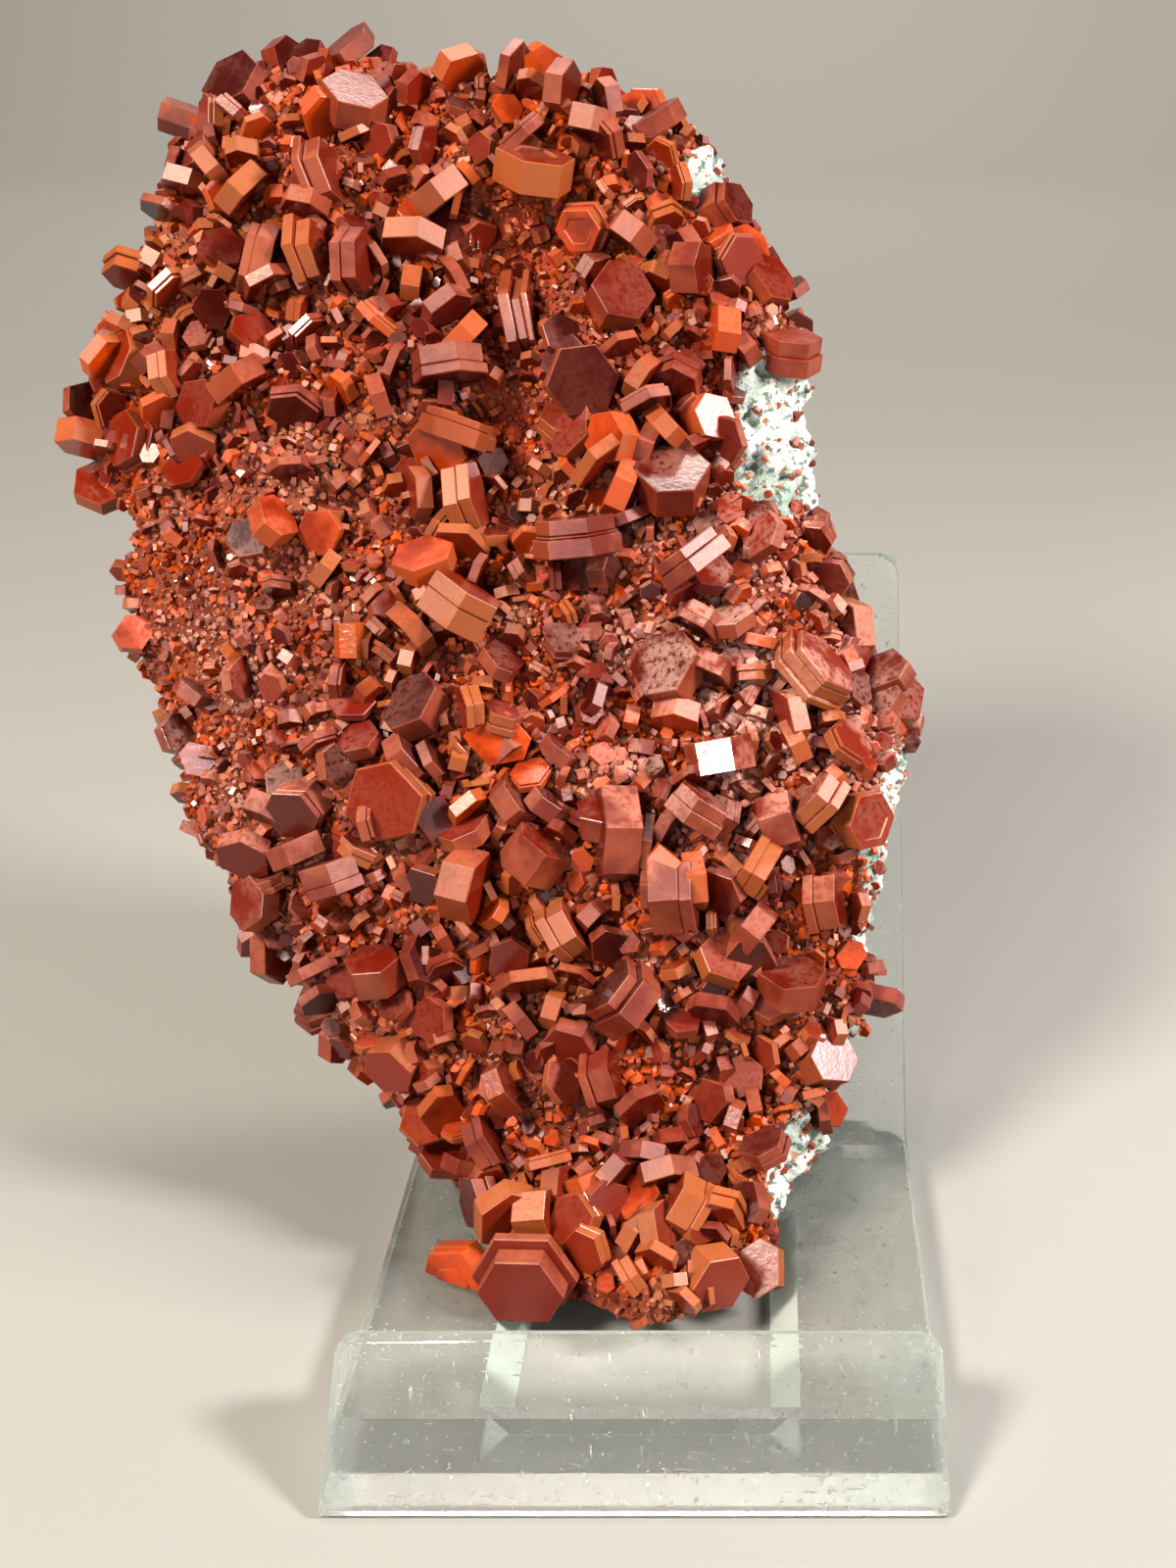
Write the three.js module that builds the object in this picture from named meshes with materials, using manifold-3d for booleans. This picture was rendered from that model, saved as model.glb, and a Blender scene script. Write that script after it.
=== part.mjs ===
// Vanadinite on matrix: a leaning plate of pale rock, coated with orange crust and set with
// red hexagonal crystals, that rests in a bent clear acrylic stand.
// Units are millimetres. +Z is up, -Y is the front, and the stand is centred on X. The origin is
// on the underside of the stand's base, below the bar between its window and its back bend.

import * as THREE from 'three';
import { mergeVertices } from 'three/addons/utils/BufferGeometryUtils.js';
import Module from 'manifold-3d';

const wasm = await Module();
wasm.setup();

// ---- Driving dimensions -------------------------------------------------------------------

const GAP = 0.3;                 // clearance kept between pieces that touch

// Stand: one sheet with a folded lip, a flat base, a leaning back and a rear tongue.
const SHEET = 3.6;
const STAND_WIDTH = 60;
const FRONT_EDGE = -30;          // y of the folded front edge
const BACK_BEND = 29.5;          // y where the base turns up into the back
const LIP_ANGLE = rad(42);       // lip above the horizontal
const LIP_LENGTH = 17.5;
const LEAN = rad(33);            // the back, away from the vertical
const BACK_LENGTH = 75;
const CORNER = 2.4;              // rounded corners of the lip and the back
const WINDOW_HALF = 14;          // opening in the base
const WINDOW_FRONT = -19;
const WINDOW_REAR = 14;
const SLOT_HALF = 22.5;          // opening that the tongue is cut from
const SLOT_START = 7;            // distance up the back where that opening starts
const TONGUE_HALF = 21;
const TONGUE_HINGE = 58;         // distance up the back where the tongue bends off
const TONGUE_FOOT = 86;          // y where the tongue meets the table
const CUT_OVER = 2;              // how far a cutter reaches past the face that it cuts
const ORIGIN_Y = 22;             // y of the part's origin, below the solid rear bar of the base

// Specimen: modelled flat, x across the plate, y up the plate, z out of its face.
const SPECIMEN_ORIGIN = [0, 4, 3.5];
const PLATE_BACK = -21.2;        // the plate's back plane, which rests on the stand's back

// Rock outline: distance up the plate, left edge, right edge, height of the face.
const ROCK_OUTLINE = [
  [-15, -14, 6, 12], [-9, -17, 9, 11], [-3, -18.5, 11, 8], [3, -17, 13.5, 4], [9, -19.5, 15.5, 0],
  [16, -26, 19, -2], [28, -37.5, 21.5, -1], [38, -45.5, 23.5, 0], [48, -52, 28, 1], [60, -60, 28, 1],
  [73, -63, 23, 1], [85, -66, 17.5, 0], [97, -69, 18, 0], [107, -69.5, 17.5, 0],
  [118, -67, 13.5, 0], [130.5, -63, 9, 0], [138, -62, 4, -1], [143.5, -60, -6, -2],
  [147, -55, -38, -5],
];
const ROCK_MID_DEPTH = -10;      // depth where the rock is widest
const ROCK_THIN_FROM = 78;       // above this height the back curves away from the stand
const ROCK_CROWN_X = -46;        // place of the point that closes the rock's top
const ROCK_FOOT_X = -4;          // and of the one that closes its foot
const RINGS = 34;
const RING_SIDES = 36;

// Crystals: name, across the plate, up the plate, height of the middle above the rock, width
// across corners, thickness along the hexagonal axis, tilt of that axis out of the face's
// normal, direction of the tilt, turn about the axis.
const CRYSTALS = [
  ['crown_tablet', -53.9, 144.2, 2, 9.6, 4.6, 28, 150, 10],
  ['crown_left_prism', -61.5, 142.3, 1, 5, 8, 78, 165, 0],
  ['crown_right_tablet', -38.2, 139.8, 3.2, 9, 4, 35, 60, 0],
  ['top_upright_tablet', -41.5, 129.6, 3, 10, 3.4, 76, 12, 15],
  ['upper_left_tablet_1', -49.2, 118.6, 3, 9.6, 3.6, 74, 170, 5],
  ['upper_left_tablet_2', -42.6, 119.7, 3, 9.8, 3.4, 76, 8, 20],
  ['top_middle_bar', -27.3, 127.3, 3, 8.4, 3.2, 66, 130, 0],
  ['top_middle_tablet', -15.5, 130, 3, 10.5, 4.4, 48, 75, 10],
  ['top_gold_tablet', -9.8, 122.8, 3.4, 7.4, 4, 40, 250, 0],
  ['top_right_tablet_1', 7.9, 127.6, 2.6, 7.4, 4.4, 50, 10, 20],
  ['top_right_prism', 3.7, 117.7, 3, 7.6, 3.8, 72, 350, 10],
  ['right_tablet_1', -4.9, 113.7, 3, 8.8, 4, 22, 20, 0],
  ['right_tablet_2', 12.8, 118.3, 2.4, 7.4, 4, 40, 20, 12],
  ['right_edge_tablet', 15.7, 109.1, 3, 8.4, 4.6, 50, 80, 0],
  ['tall_prism', -17.2, 113.9, 2, 12.2, 3.8, 82, 8, 0],
  ['level_bar', -25.2, 105.1, 4.2, 10.2, 3.8, 78, 98, 0],
  ['grey_bar', -24.3, 97.1, 3.2, 9.4, 3.4, 74, 70, 8],
  ['needle_prism', -22.9, 88.5, 2.2, 9.6, 3.6, 80, 8, 30],
  ['dark_tablet', -9.4, 103, 3, 9.6, 4.4, 26, 300, 10],
  ['orange_tablet_1', -5.6, 95.3, 3, 7, 3.6, 40, 200, 0],
  ['orange_tablet_2', 5.7, 99, 2.6, 6.4, 3.6, 36, 350, 0],
  ['brown_tablet', 1.3, 90.7, 3.4, 10.4, 4.4, 30, 80, 8],
  ['double_plate', -9.4, 83.4, 4, 11.6, 4.8, 68, 96, 0],
  ['slanting_plate', 3.8, 80.4, 3.6, 11, 3.6, 74, 128, 0],
  ['great_double_prism', -22.6, 74.6, 3.6, 10.2, 5.4, 72, 55, 10],
  ['left_gold_prism', -35.6, 71, 2.4, 4.2, 4.4, 70, 90, 0],
  ['studded_tablet', 1.4, 67.6, 3, 9.4, 3.6, 28, 160, 0],
  ['curved_tablet', 18.6, 68, 3, 11.6, 4, 58, 38, 10],
  ['mirror_prism', 7.4, 57.2, 3.4, 8.6, 4.2, 78, 100, 0],
  ['middle_bar', 5, 50.8, 4, 8.8, 3.6, 74, 52, 0],
  ['right_prism_1', 14.4, 49.6, 3, 7.8, 4.2, 78, 15, 10],
  ['long_mauve_prism', -4.8, 48.4, 2, 12.4, 4.6, 74, 182, 0],
  ['right_brown_tablet', 23.8, 50, 2.4, 7.8, 4.6, 40, 340, 10],
  ['great_red_tablet', -30.4, 51.8, 3, 10.6, 4.4, 20, 250, 12],
  ['left_red_tablet', -41, 51, 2.6, 7.6, 4, 40, 250, 0],
  ['left_pink_bar', -37, 43.4, 3, 8.2, 4, 74, 108, 0],
  ['middle_prism_1', -21.4, 42, 2.6, 9, 4.2, 82, 345, 20],
  ['middle_prism_2', -13.6, 45.6, 3.2, 7.8, 5, 66, 50, 20],
  ['upright_tan_prism', 2.4, 41.2, 2.4, 10.6, 5.4, 84, 4, 20],
  ['lower_prism_1', -10.4, 37.2, 2.8, 7.8, 3.6, 80, 30, 0],
  ['right_prism_2', 19.6, 40.6, 2.2, 8.8, 4, 76, 5, 10],
  ['great_dark_tablet', -3.6, 29.8, 3.6, 10, 4.8, 62, 140, 0],
  ['lower_flat_tablet', 15.4, 31.4, 3, 8.4, 3.6, 52, 88, 10],
  ['lower_left_tablet_1', -31.8, 32.6, 2.6, 7, 4, 50, 100, 0],
  ['lower_left_tablet_2', -30.1, 22.2, 2.6, 7, 4, 44, 240, 10],
  ['lower_bar', -5.4, 20.2, 3.4, 8, 3.6, 76, 15, 0],
  ['lower_right_tablet', 19.6, 22.6, 2.6, 7, 4, 34, 20, 0],
  ['foot_tan_prism', 3.6, 6.6, 2.8, 7.8, 4.2, 74, 150, 0],
  ['foot_left_prism', -12.4, 5.6, 2.6, 7.6, 4, 78, 5, 10],
  ['foot_great_tablet', -13.3, -1.4, 3.8, 12.2, 4.4, 30, 262, 0],
  ['foot_ring_tablet', -21.2, -1.4, 9.2, 9.6, 3.4, 34, 215, 8],
  ['left_edge_tablet_1', -66.5, 108.4, 1.5, 7.6, 3.4, 42, 170, 0],
  ['left_edge_tablet_2', -65.5, 98.6, 1.5, 9, 3.4, 36, 190, 10],
  ['left_tablet', -55.5, 101, 3, 7, 3.2, 30, 205, 0],
  ['foot_right_tablet', 7, -0.6, 2.6, 7.4, 4, 38, 320, 0],
];
const CRYSTAL_BEVEL = 0.35;

// ---- Materials ----------------------------------------------------------------------------

const finish = (color, roughness) => new THREE.MeshStandardMaterial({ color, roughness, metalness: 0 });
const acrylic = () => new THREE.MeshStandardMaterial({
  color: 0xcfd6cc,
  roughness: 0.08,
  metalness: 0,
  transparent: true,
  opacity: 0.35,
});
const rock = () => finish(0xb06a42, 0.9);
const vanadinite = () => finish(0x8a2a14, 0.3);

// ---- Helpers ------------------------------------------------------------------------------

function rad(degrees) {
  return degrees * Math.PI / 180;
}

// A closed geometry as a manifold solid.
function toSolid(geometry) {
  const bare = geometry.clone();
  bare.deleteAttribute('normal');
  bare.deleteAttribute('uv');
  const merged = mergeVertices(bare, 1e-4);
  return new wasm.Manifold(new wasm.Mesh({
    numProp: 3,
    vertProperties: new Float32Array(merged.attributes.position.array),
    triVerts: new Uint32Array(merged.index.array),
  }));
}

function toMesh(name, solid, material) {
  const result = solid.getMesh();
  const geometry = new THREE.BufferGeometry();
  geometry.setAttribute('position', new THREE.BufferAttribute(result.vertProperties, 3));
  geometry.setIndex(new THREE.BufferAttribute(result.triVerts, 1));
  geometry.computeVertexNormals();
  const mesh = new THREE.Mesh(geometry, material);
  mesh.name = name;
  return mesh;
}

// A side outline of [y, z] points, extruded along X about the middle of the stand.
function slab(outline, halfWidth) {
  const shape = new THREE.Shape(outline.map(([y, z]) => new THREE.Vector2(y, z)));
  const geometry = new THREE.ExtrudeGeometry(shape, { depth: 2 * halfWidth, bevelEnabled: false });
  geometry.translate(0, 0, -halfWidth);
  // The shape's x, y and depth become the stand's Y, Z and X.
  geometry.applyMatrix4(new THREE.Matrix4().makeBasis(
    new THREE.Vector3(0, 1, 0), new THREE.Vector3(0, 0, 1), new THREE.Vector3(1, 0, 0)));
  return toSolid(geometry);
}

// The four points of a straight strip of sheet from a to b, with its thickness on the left.
function strip(a, b, thickness) {
  const length = Math.hypot(b[0] - a[0], b[1] - a[1]);
  const left = [-(b[1] - a[1]) / length * thickness, (b[0] - a[0]) / length * thickness];
  return [a, b, [b[0] + left[0], b[1] + left[1]], [a[0] + left[0], a[1] + left[1]]];
}

const lerp = THREE.MathUtils.lerp;
const smooth = THREE.MathUtils.smoothstep;

// ---- Stand --------------------------------------------------------------------------------

const lipAway = [Math.cos(LIP_ANGLE), Math.sin(LIP_ANGLE)];
const backAway = [Math.sin(LEAN), Math.cos(LEAN)];
const lipTop = [FRONT_EDGE + LIP_LENGTH * lipAway[0], LIP_LENGTH * lipAway[1]];
const lipTopInner = [lipTop[0] + SHEET * lipAway[1], lipTop[1] - SHEET * lipAway[0]];
const crease = [lipTopInner[0] - (lipTopInner[1] - SHEET) / Math.tan(LIP_ANGLE), SHEET];

// A point on the front face of the stand's back, a distance up it and in front of it.
function onBack(up, forward) {
  return [
    BACK_BEND + up * backAway[0] - forward * backAway[1],
    SHEET + up * backAway[1] + forward * backAway[0],
  ];
}

function buildStand() {
  const cornerCut = (SHEET / 2) / Math.cos(LEAN);
  const side = [
    [FRONT_EDGE + 0.8, 0],
    [BACK_BEND + cornerCut, 0],
    [onBack(0, -SHEET)[0] + 0.5, 1.2],
    onBack(1.5, -SHEET),
    onBack(BACK_LENGTH, -SHEET),
    onBack(BACK_LENGTH, 0),
    onBack(2, 0),
    onBack(0.6, 0.35),
    [BACK_BEND - 2, SHEET],
    crease,
    lipTopInner,
    lipTop,
    [FRONT_EDGE + 0.2, 0.9],
    [FRONT_EDGE + 0.2, 0.3],
  ];
  let stand = slab(side, STAND_WIDTH / 2);

  // Window in the base, with a sloping cut edge on both sides.
  const windowLow = WINDOW_HALF - SHEET / 2;
  const windowHigh = WINDOW_HALF + SHEET / 2 + CUT_OVER / 2;
  const windowShape = new THREE.Shape([
    new THREE.Vector2(-windowLow, -CUT_OVER / 2),
    new THREE.Vector2(windowLow, -CUT_OVER / 2),
    new THREE.Vector2(windowHigh, SHEET + CUT_OVER / 2),
    new THREE.Vector2(-windowHigh, SHEET + CUT_OVER / 2),
  ]);
  const windowCut = new THREE.ExtrudeGeometry(windowShape, {
    depth: WINDOW_REAR - WINDOW_FRONT,
    bevelEnabled: false,
  });
  windowCut.rotateX(Math.PI / 2);
  windowCut.translate(0, WINDOW_REAR, 0);
  stand = stand.subtract(toSolid(windowCut));

  // Slot in the back, and the tongue that was bent out of it down to the table.
  const slot = [
    onBack(SLOT_START, CUT_OVER), onBack(TONGUE_HINGE, CUT_OVER),
    onBack(TONGUE_HINGE, -SHEET - CUT_OVER), onBack(SLOT_START, -SHEET - CUT_OVER),
  ];
  stand = stand.subtract(slab(slot, SLOT_HALF));
  const hinge = onBack(TONGUE_HINGE - 0.5, -0.5);
  const foot = [TONGUE_FOOT, 0];
  const leg = strip(hinge, foot, SHEET);
  const root = [
    onBack(TONGUE_HINGE + 4, -0.4), onBack(TONGUE_HINGE + 4, -SHEET + 0.4),
    onBack(TONGUE_HINGE, -SHEET - CUT_OVER), leg[3], leg[0],
  ];
  leg[2] = [foot[0] + SHEET * 1.06, 0];
  const tongue = slab(leg.reverse(), TONGUE_HALF).add(slab(root, TONGUE_HALF));
  stand = stand.add(tongue);

  // Rounded corners on the top of the back and of the lip.
  for (const sign of [-1, 1]) {
    stand = stand.subtract(cornerCutter(sign, onBack(BACK_LENGTH, -SHEET / 2), backAway));
    const lipMiddle = [(lipTop[0] + lipTopInner[0]) / 2, (lipTop[1] + lipTopInner[1]) / 2];
    stand = stand.subtract(cornerCutter(sign, lipMiddle, lipAway));
  }
  return stand;
}

// What is left outside a quarter round, at the end of a sheet that runs along `away` in Y and Z.
function cornerCutter(sign, end, away) {
  const shape = new THREE.Shape();
  const outer = 1;
  shape.moveTo(0, -CORNER);
  shape.absarc(-CORNER, -CORNER, CORNER, 0, Math.PI / 2, false);
  shape.lineTo(-CORNER, outer);
  shape.lineTo(outer, outer);
  shape.lineTo(outer, -CORNER);
  const geometry = new THREE.ExtrudeGeometry(shape, {
    depth: 3 * SHEET,
    bevelEnabled: false,
    curveSegments: 6,
  });
  geometry.translate(0, 0, -1.5 * SHEET);
  if (sign < 0) {
    geometry.rotateY(Math.PI);
  }
  const across = new THREE.Vector3(1, 0, 0);
  const along = new THREE.Vector3(0, away[0], away[1]);
  const through = new THREE.Vector3().crossVectors(across, along);
  const place = new THREE.Matrix4().makeBasis(across, along, through);
  place.setPosition(sign * STAND_WIDTH / 2, end[0], end[1]);
  geometry.applyMatrix4(place);
  return toSolid(geometry);
}

// ---- Specimen -----------------------------------------------------------------------------

const specimen = new THREE.Group();
specimen.position.set(...SPECIMEN_ORIGIN);
specimen.rotation.x = Math.PI / 2 - LEAN;
specimen.updateMatrix();

// The room in the stand's seat that the specimen may fill, in the specimen's own frame.
function seatRoom() {
  const far = 250;
  const clear = SHEET + GAP;
  const lipClear = [lipAway[1] * GAP, -lipAway[0] * GAP];
  const room = [
    [crease[0] + GAP / Math.tan(LIP_ANGLE / 2), clear],
    [BACK_BEND - 2.4, clear],
    onBack(2, GAP),
    onBack(BACK_LENGTH + far, GAP),
    [-far, BACK_LENGTH + far],
    [-far, lipTop[1] + GAP],
    [lipTop[0], lipTop[1] + 2 * GAP],
    [lipTopInner[0] + 2 * lipClear[0], lipTopInner[1]],
  ];
  return slab(room, far / 2).transform(specimen.matrix.clone().invert().elements);
}

// Left edge, right edge and face height of the rock at a height up the plate.
function rockAt(y) {
  const rows = ROCK_OUTLINE;
  let i = 0;
  while (i < rows.length - 2 && y > rows[i + 1][0]) {
    i += 1;
  }
  const t = THREE.MathUtils.clamp((y - rows[i][0]) / (rows[i + 1][0] - rows[i][0]), 0, 1);
  const row = rows[i].map((value, k) => lerp(value, rows[i + 1][k], t));
  return { left: row[1], right: row[2], face: row[3] };
}

// Lumps and the deep valley near the top of the face, as a change in its height.
function relief(x, y) {
  const lumps = 0.9 * Math.sin(x / 5.1 + 0.7) * Math.cos(y / 6.3) + 0.7 * Math.sin(x / 3.1 - y / 4.2);
  const valley = Math.exp(-(((x + 17) / 5) ** 2)) * smooth(y, 76, 90) * (1 - smooth(y, 118, 134));
  const flank = smooth(-x, 34, 68) * smooth(y, 20, 50) * (1 - smooth(y, 100, 125));
  return lumps - 4.5 * valley - 4 * flank;
}

// The rock's face height at a place on the plate, without its rounded rim when inside it.
function faceHeight(x, y) {
  const { left, right, face } = rockAt(y);
  const across = THREE.MathUtils.clamp((2 * x - left - right) / (right - left), -0.999, 0.999);
  const rise = (1 - Math.abs(across) ** 3) ** (1 / 3);
  return ROCK_MID_DEPTH + (face + relief(x, y) - ROCK_MID_DEPTH) * rise;
}

function rockPoint(y, angle) {
  const { left, right } = rockAt(y);
  const middle = (left + right) / 2;
  const half = (right - left) / 2;
  const c = Math.cos(angle);
  const s = Math.sin(angle);
  const x = half * Math.sign(c) * Math.abs(c) ** (2 / 3);
  const wobble = 1 + 0.03 * Math.sin(y / 4.3 + 3 * angle);
  let z = faceHeight(middle + x, y);
  if (s < 0) {
    const thinner = 9 * smooth(y, ROCK_THIN_FROM, 142);
    const lumps = 0.8 * Math.sin((middle + x) / 6 + y / 9) * smooth(y, ROCK_THIN_FROM, 90);
    z = lerp(ROCK_MID_DEPTH, PLATE_BACK + thinner + lumps, Math.abs(s) ** 0.35);
  }
  return [middle + x * wobble, y, z];
}

// The rock as rings of points from the foot to the crown, closed by a fan at each end, with
// its surface moved out by a small distance.
function buildRock(grow) {
  const first = ROCK_OUTLINE[0][0];
  const last = ROCK_OUTLINE[ROCK_OUTLINE.length - 1][0];
  const points = [];
  const faces = [];
  for (let ring = 0; ring <= RINGS; ring += 1) {
    for (let k = 0; k < RING_SIDES; k += 1) {
      const y = lerp(first, last, ring / RINGS);
      points.push(...rockPoint(y, 2 * Math.PI * (k + 0.5) / RING_SIDES));
    }
  }
  const at = (ring, k) => ring * RING_SIDES + k % RING_SIDES;
  for (let ring = 0; ring < RINGS; ring += 1) {
    for (let k = 0; k < RING_SIDES; k += 1) {
      faces.push(at(ring, k), at(ring + 1, k), at(ring, k + 1));
      faces.push(at(ring, k + 1), at(ring + 1, k), at(ring + 1, k + 1));
    }
  }
  const crown = points.length / 3;
  points.push(ROCK_CROWN_X, last + 2.5, ROCK_MID_DEPTH);
  points.push(ROCK_FOOT_X, first - 1, ROCK_MID_DEPTH);
  for (let k = 0; k < RING_SIDES; k += 1) {
    faces.push(at(RINGS, k), crown, at(RINGS, k + 1));
    faces.push(at(0, k + 1), crown + 1, at(0, k));
  }
  const geometry = new THREE.BufferGeometry();
  geometry.setAttribute('position', new THREE.BufferAttribute(new Float32Array(points), 3));
  geometry.setIndex(faces);
  geometry.computeVertexNormals();
  const { position, normal } = geometry.attributes;
  for (let i = 0; i < position.count; i += 1) {
    position.setXYZ(
      i,
      position.getX(i) + grow * normal.getX(i),
      position.getY(i) + grow * normal.getY(i),
      position.getZ(i) + grow * normal.getZ(i));
  }
  return toSolid(geometry);
}

// One hexagonal crystal with bevelled edges, centred on its place above the rock.
function buildCrystal([, x, y, lift, width, thickness, tilt, heading, turn]) {
  const hexagon = new THREE.Shape();
  const radius = width / 2 - CRYSTAL_BEVEL;
  for (let corner = 0; corner < 6; corner += 1) {
    const angle = rad(60 * corner + turn);
    const point = [radius * Math.cos(angle), radius * Math.sin(angle)];
    if (corner === 0) {
      hexagon.moveTo(...point);
    } else {
      hexagon.lineTo(...point);
    }
  }
  const geometry = new THREE.ExtrudeGeometry(hexagon, {
    depth: thickness - 2 * CRYSTAL_BEVEL,
    bevelSize: CRYSTAL_BEVEL,
    bevelThickness: CRYSTAL_BEVEL,
    bevelSegments: 1,
  });
  geometry.translate(0, 0, CRYSTAL_BEVEL - thickness / 2);
  const axis = new THREE.Vector3(
    Math.sin(rad(tilt)) * Math.cos(rad(heading)),
    Math.sin(rad(tilt)) * Math.sin(rad(heading)),
    Math.cos(rad(tilt)));
  geometry.applyQuaternion(new THREE.Quaternion().setFromUnitVectors(new THREE.Vector3(0, 0, 1), axis));
  geometry.translate(x, y, faceHeight(x, y) + lift);
  return toSolid(geometry);
}

// ---- Assembly -----------------------------------------------------------------------------

const room = seatRoom();
const keepOff = buildRock(1.5 * GAP);

specimen.add(toMesh('matrix', buildRock(0).intersect(room), rock()));
for (const row of CRYSTALS) {
  const crystal = buildCrystal(row).subtract(keepOff).intersect(room);
  specimen.add(toMesh(row[0], crystal, vanadinite()));
}

const group = new THREE.Group();
group.position.y = -ORIGIN_Y;
group.add(toMesh('acrylic_stand', buildStand(), acrylic()));
group.add(specimen);

export default group;
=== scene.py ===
# %% [markdown]
# # Vanadinite on matrix
# A plate of pale rock is coated with a crust of tiny orange crystals and set with deep red
# hexagonal tablets. It leans in a bent clear acrylic stand. This lesson builds its looks around
# a fixed frame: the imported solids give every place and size, and nothing here moves them.

# %% Load the frame
import math
import random

import bmesh
import bpy
import numpy as np
from mathutils import Matrix, Vector, noise


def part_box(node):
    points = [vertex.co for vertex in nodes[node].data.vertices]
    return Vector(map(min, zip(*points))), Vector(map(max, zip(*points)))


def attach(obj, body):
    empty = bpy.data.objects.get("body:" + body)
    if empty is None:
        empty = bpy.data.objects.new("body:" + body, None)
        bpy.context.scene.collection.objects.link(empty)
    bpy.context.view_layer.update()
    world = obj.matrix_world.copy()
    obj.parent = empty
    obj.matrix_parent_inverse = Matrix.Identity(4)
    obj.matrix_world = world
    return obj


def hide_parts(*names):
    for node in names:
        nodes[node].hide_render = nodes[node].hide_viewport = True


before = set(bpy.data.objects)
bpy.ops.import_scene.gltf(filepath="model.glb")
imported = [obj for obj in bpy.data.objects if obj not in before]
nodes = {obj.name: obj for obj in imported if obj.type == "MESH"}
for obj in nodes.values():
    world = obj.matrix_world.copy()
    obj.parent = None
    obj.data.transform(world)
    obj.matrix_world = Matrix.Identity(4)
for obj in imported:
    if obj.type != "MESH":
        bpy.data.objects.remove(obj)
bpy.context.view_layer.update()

MM = 0.001

# %% [markdown]
# ## The plate's own directions
# The specimen leans back against the stand. It is easier to think about in its own directions:
# across its face, up its face, and out of its face. The lean is the one angle to know, and the
# stand's box gives the middle and the width.

# %% Plate directions
LEAN = math.radians(33)
ACROSS = Vector((1, 0, 0))
UP = Vector((0, math.sin(LEAN), math.cos(LEAN)))
OUT = Vector((0, -math.cos(LEAN), math.sin(LEAN)))
stand_low, stand_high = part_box("acrylic_stand")
SHEET = 3.6 * MM
FOOT_FROM_LIP = 33.8 * MM
FOOT_SINK = 0.1 * MM
PLATE_ORIGIN = Vector((0, stand_low.y + FOOT_FROM_LIP, SHEET - FOOT_SINK))


def on_plate(point):
    """A point's distances across, up and out of the plate, in millimetres."""
    offset = point - PLATE_ORIGIN
    return offset.dot(ACROSS) / MM, offset.dot(UP) / MM, offset.dot(OUT) / MM


# %% [markdown]
# ## Wires: node trees written as sums
# Shader and geometry trees are easier to read as expressions. A Wire wraps one socket, and its
# operators add Math nodes. Every other node comes from Tree.add, which sets the node's settings
# first and then its inputs by name.

# %% Wire and Tree


class Wire:
    """One output socket of a tree, with arithmetic."""

    def __init__(self, tree, socket):
        self.tree = tree
        self.socket = socket

    def math(self, operation, *values):
        inputs = {0: self, **dict(enumerate(values, 1))}
        return self.tree.add("ShaderNodeMath", {"operation": operation}, inputs)

    def __add__(self, other):
        return self.math("ADD", other)

    def __sub__(self, other):
        return self.math("SUBTRACT", other)

    def __mul__(self, other):
        return self.math("MULTIPLY", other)

    def __rsub__(self, other):
        return self.tree.add("ShaderNodeMath", {"operation": "SUBTRACT"}, {0: other, 1: self})

    __radd__ = __add__
    __rmul__ = __mul__

    def clamp(self):
        return self.tree.add("ShaderNodeClamp", {}, {"Value": self})

    def ramp(self, low, high):
        """0 below low, 1 above high, smooth between them."""
        return self.tree.add(
            "ShaderNodeMapRange",
            {"interpolation_type": "SMOOTHSTEP"},
            {"Value": self, "From Min": low, "From Max": high},
        )


class Tree:
    """A node tree under construction, for a material or for Geometry Nodes."""

    def __init__(self, tree):
        self.tree = tree

    def add(self, kind, settings=None, inputs=None, output=0):
        node = self.tree.nodes.new(kind)
        for name, value in (settings or {}).items():
            setattr(node, name, value)
        for key, value in (inputs or {}).items():
            socket = self.find(node.inputs, key)
            if isinstance(value, Wire):
                self.tree.links.new(value.socket, socket)
            else:
                socket.default_value = value
        return Wire(self, self.find(node.outputs, output))

    @staticmethod
    def find(sockets, key):
        """The enabled socket of that name, or at that place among the enabled ones."""
        shown = [s for s in sockets if s.enabled]
        if isinstance(key, int):
            return shown[key]
        return next(s for s in shown if s.name == key)

    def mix(self, factor, a, b):
        """A colour between a and b."""
        settings = {"data_type": "RGBA", "clamp_factor": True}
        return self.add("ShaderNodeMix", settings, {"Factor": factor, "A": a, "B": b})

    def noise(self, scale, detail=3.0, roughness=0.5, vector=None):
        inputs = {"Scale": scale, "Detail": detail, "Roughness": roughness}
        if vector is not None:
            inputs["Vector"] = vector
        return self.add("ShaderNodeTexNoise", {}, inputs)

    def attribute(self, name):
        return self.add("ShaderNodeAttribute", {"attribute_name": name}, {}, "Fac")


print("tree helpers ready")

# %% [markdown]
# ## Camera and studio
# The camera looks a little down on the plate from the front. Its lens and sideways shift frame the
# plate left of the middle.

# %% Camera
CAMERA_PLACE = Vector((12.0, -187.9, 133.4)) * MM
CAMERA_PITCH = math.radians(22.9)
camera = bpy.data.objects.new("camera", bpy.data.cameras.new("camera"))
bpy.context.scene.collection.objects.link(camera)
camera.location = CAMERA_PLACE
camera.rotation_euler = (math.pi / 2 - CAMERA_PITCH, 0, 0)
SENSOR_WIDTH, LENS, SIDE_SHIFT, NEAREST = 36.0, 42.75, -0.11, 0.01
camera.data.sensor_width = SENSOR_WIDTH
camera.data.lens = LENS
camera.data.shift_x = SIDE_SHIFT
camera.data.clip_start = NEAREST
bpy.context.scene.camera = camera
print("camera", tuple(camera.location))

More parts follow.
